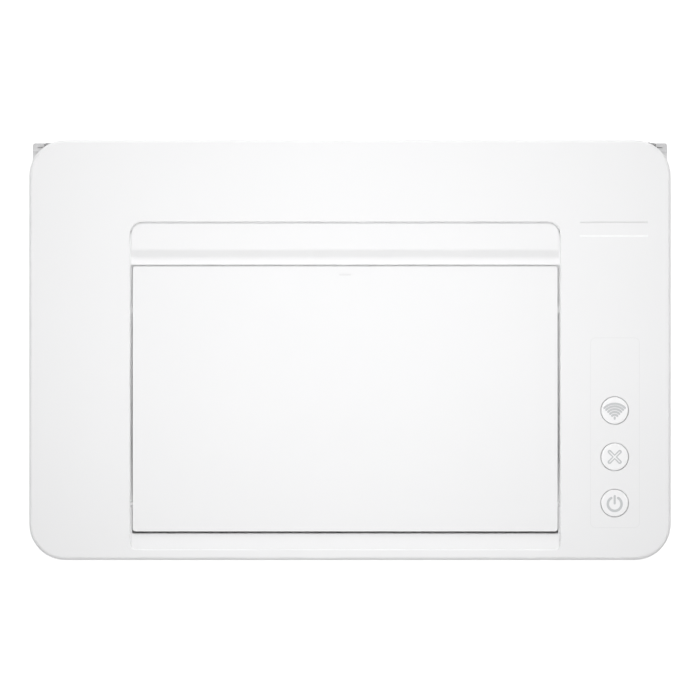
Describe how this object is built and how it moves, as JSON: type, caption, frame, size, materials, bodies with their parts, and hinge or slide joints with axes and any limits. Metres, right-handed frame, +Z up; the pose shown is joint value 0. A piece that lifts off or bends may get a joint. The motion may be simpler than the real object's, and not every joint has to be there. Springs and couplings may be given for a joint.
{
  "type": "laser printer",
  "caption": "Compact desktop laser printer with hinged top cover, output flap, fold-down front tray and three push buttons.",
  "frame": {"origin": "bottom centre of the closed printer, on the surface it stands on", "axes": "+X to the right seen from the front, +Y to the rear, +Z up"},
  "size_m": [0.3318, 0.2172, 0.178],
  "materials": {
    "casing_white": "fine moulded texture, satin",
    "casing_grey": "fine moulded texture, satin",
    "button_white": "smooth satin",
    "guide_blue_grey": "satin",
    "gear_white": "natural acetal",
    "black_plastic": "fine moulded texture",
    "circuit_board": "solder mask",
    "sheet_steel": "zinc plated",
    "steel": "ground",
    "aluminium": "turned",
    "motor_metal": "pressed can",
    "mirror_metal": "diamond cut",
    "fuser_metal": "coated",
    "drum_green": "coated tube, glossy",
    "roller_rubber": "ground rubber",
    "roller_foam": "sponge",
    "foot_rubber": "matte",
    "lens_glass": "polished",
    "lamp_glass": "quartz tube"
  },
  "bodies": {
    "root": {"base_frame": "casing_grey", "left_cover": "casing_white", "right_cover": "casing_white", "rear_cover": "casing_white", "rubber_feet": "foot_rubber", "frame_screws": "steel", "hinge_pins": "steel", "left_frame": "sheet_steel", "right_frame": "sheet_steel", "roller_bushes": "black_plastic", "tray_floor": "casing_grey", "lift_springs": "steel", "scanner_deck": "sheet_steel", "scanner_housing": "black_plastic", "scanner_lid": "black_plastic", "scan_lens": "lens_glass", "mirror_motor": "circuit_board", "laser_unit": "aluminium", "cartridge_shell": "black_plastic", "separation_pad": "roller_rubber", "paper_chute": "black_plastic", "fuser_frame": "sheet_steel", "fuser_lamp": "lamp_glass", "drive_plate": "sheet_steel", "main_motor": "motor_metal", "main_board": "circuit_board", "usb_port": "steel", "power_board": "circuit_board", "power_inlet": "black_plastic"},
    "photo_drum": {"photo_drum": "drum_green", "drum_gear": "gear_white"},
    "motor_rotor": {"motor_pinion": "steel"},
    "drive_idler": {"idler_gear": "gear_white"},
    "transfer": {"transfer_roller": "roller_foam"},
    "developer": {"developer_roller": "roller_rubber"},
    "charger": {"charge_roller": "roller_rubber"},
    "pickup_drive": {"pickup_gear": "gear_white"},
    "pickup": {"pickup_roller": "roller_rubber"},
    "feeder": {"feed_roller": "roller_rubber"},
    "feed_pinch": {"feed_idler": "steel"},
    "fuser_heat": {"heat_roller": "fuser_metal"},
    "fuser_pressure": {"pressure_roller": "roller_rubber"},
    "exit_drive": {"exit_roller": "roller_rubber"},
    "exit_pinch": {"exit_idlers": "black_plastic"},
    "scanner_mirror": {"polygon_mirror": "mirror_metal"},
    "flap": {"output_flap": "casing_white"},
    "front_tray": {"tray_door": "casing_white"},
    "extension": {"tray_extension": "casing_grey"},
    "guide_left": {"left_guide": "guide_blue_grey"},
    "guide_right": {"right_guide": "guide_blue_grey"},
    "guide_gear": {"guide_pinion": "gear_white"},
    "lift": {"lift_plate": "sheet_steel"},
    "wireless": {"wireless_button": "button_white"},
    "cancel": {"cancel_button": "button_white"},
    "power": {"power_button": "button_white"},
    "lid": {"top_cover": "casing_white", "output_tray": "casing_white", "exit_lip": "casing_white", "control_board": "circuit_board", "button_switches": "black_plastic"}
  },
  "joints": [
    {"name": "lid_hinge", "type": "hinge", "parent": "root", "child": "lid", "pos_m": [0, 0.1031, 0.141], "axis": [-1, 0, 0], "range_deg": [0, 75]},
    {"name": "flap_hinge", "type": "hinge", "parent": "lid", "child": "flap", "pos_m": [-0.0025, -0.0798, 0.1725], "axis": [1, 0, 0], "range_deg": [0, 145]},
    {"name": "tray_hinge", "type": "hinge", "parent": "root", "child": "front_tray", "pos_m": [0, -0.1028, 0.0105], "axis": [1, 0, 0], "range_deg": [0, 90]},
    {"name": "extension_slide", "type": "slide", "parent": "front_tray", "child": "extension", "axis": [0, 0, 1], "range_m": [0, 0.034]},
    {"name": "guide_slide", "type": "slide", "parent": "root", "child": "guide_left", "axis": [1, 0, 0], "range_m": [0, 0.045]},
    {"name": "right_guide_slide", "type": "slide", "parent": "root", "child": "guide_right", "axis": [-1, 0, 0], "range_m": [0, 0.045]},
    {"name": "guide_gear_spin", "type": "hinge", "parent": "root", "child": "guide_gear", "pos_m": [-0.0025, -0.0784, 0.006], "axis": [0, 0, 1], "range_deg": [-258, 0]},
    {"name": "lift_hinge", "type": "hinge", "parent": "root", "child": "lift", "pos_m": [-0.0025, -0.0554, 0.0115], "axis": [1, 0, 0], "range_deg": [0, 15]},
    {"name": "wireless_press", "type": "slide", "parent": "lid", "child": "wireless", "axis": [0, 0, -1], "range_m": [0, 0.0008], "stiffness_N_per_m": 400},
    {"name": "cancel_press", "type": "slide", "parent": "lid", "child": "cancel", "axis": [0, 0, -1], "range_m": [0, 0.0008], "stiffness_N_per_m": 400},
    {"name": "power_press", "type": "slide", "parent": "lid", "child": "power", "axis": [0, 0, -1], "range_m": [0, 0.0008], "stiffness_N_per_m": 400},
    {"name": "drum_spin", "type": "hinge", "parent": "root", "child": "photo_drum", "pos_m": [-0.0025, 0.0591, 0.086], "axis": [1, 0, 0], "continuous": true},
    {"name": "motor_spin", "type": "hinge", "parent": "root", "child": "motor_rotor", "pos_m": [-0.0025, 0.01144, 0.10472], "axis": [1, 0, 0], "continuous": true},
    {"name": "idler_spin", "type": "hinge", "parent": "root", "child": "drive_idler", "pos_m": [-0.0025, 0.03535, 0.10263], "axis": [1, 0, 0], "continuous": true},
    {"name": "transfer_spin", "type": "hinge", "parent": "root", "child": "transfer", "pos_m": [-0.0025, 0.07853, 0.0843], "axis": [1, 0, 0], "continuous": true},
    {"name": "developer_spin", "type": "hinge", "parent": "root", "child": "developer", "pos_m": [-0.0025, 0.03868, 0.08421], "axis": [1, 0, 0], "continuous": true},
    {"name": "charge_spin", "type": "hinge", "parent": "root", "child": "charger", "pos_m": [-0.0025, 0.05281, 0.10158], "axis": [1, 0, 0], "continuous": true},
    {"name": "pickup_gear_spin", "type": "hinge", "parent": "root", "child": "pickup_drive", "pos_m": [-0.0025, 0.02808, 0.05069], "axis": [1, 0, 0], "continuous": true},
    {"name": "pickup_spin", "type": "hinge", "parent": "root", "child": "pickup", "pos_m": [-0.0025, 0.02808, 0.05069], "axis": [1, 0, 0], "continuous": true},
    {"name": "feed_spin", "type": "hinge", "parent": "root", "child": "feeder", "pos_m": [-0.0025, 0.06936, 0.05781], "axis": [1, 0, 0], "continuous": true},
    {"name": "feed_pinch_spin", "type": "hinge", "parent": "root", "child": "feed_pinch", "pos_m": [-0.0025, 0.08066, 0.05781], "axis": [1, 0, 0], "continuous": true},
    {"name": "heat_spin", "type": "hinge", "parent": "root", "child": "fuser_heat", "pos_m": [-0.0025, 0.0591, 0.12], "axis": [1, 0, 0], "continuous": true},
    {"name": "pressure_spin", "type": "hinge", "parent": "root", "child": "fuser_pressure", "pos_m": [-0.0025, 0.0794, 0.12], "axis": [1, 0, 0], "continuous": true},
    {"name": "exit_spin", "type": "hinge", "parent": "root", "child": "exit_drive", "pos_m": [-0.0025, 0.0591, 0.141], "axis": [1, 0, 0], "continuous": true},
    {"name": "exit_pinch_spin", "type": "hinge", "parent": "root", "child": "exit_pinch", "pos_m": [-0.0025, 0.0591, 0.1503], "axis": [1, 0, 0], "continuous": true},
    {"name": "mirror_spin", "type": "hinge", "parent": "root", "child": "scanner_mirror", "pos_m": [-0.0025, -0.0384, 0.056], "axis": [0, 0, 1], "continuous": true}
  ],
  "couplings": [
    {"joint": "motor_spin", "follows": "drum_spin", "ratio": 9.4286},
    {"joint": "idler_spin", "follows": "drum_spin", "ratio": -3.1429},
    {"joint": "transfer_spin", "follows": "drum_spin", "ratio": -1.7857},
    {"joint": "developer_spin", "follows": "drum_spin", "ratio": -1.5625},
    {"joint": "charge_spin", "follows": "drum_spin", "ratio": -2.6667},
    {"joint": "pickup_gear_spin", "follows": "drum_spin", "ratio": -0.88},
    {"joint": "feed_spin", "follows": "drum_spin", "ratio": -2.75},
    {"joint": "feed_pinch_spin", "follows": "drum_spin", "ratio": 3.3},
    {"joint": "heat_spin", "follows": "drum_spin", "ratio": -1.8333},
    {"joint": "pressure_spin", "follows": "drum_spin", "ratio": 1.8333},
    {"joint": "exit_spin", "follows": "drum_spin", "ratio": 2.4444},
    {"joint": "exit_pinch_spin", "follows": "drum_spin", "ratio": -3.0556},
    {"joint": "right_guide_slide", "follows": "guide_slide", "ratio": 1},
    {"joint": "guide_gear_spin", "follows": "guide_slide", "rad_per_m": -100}
  ]
}
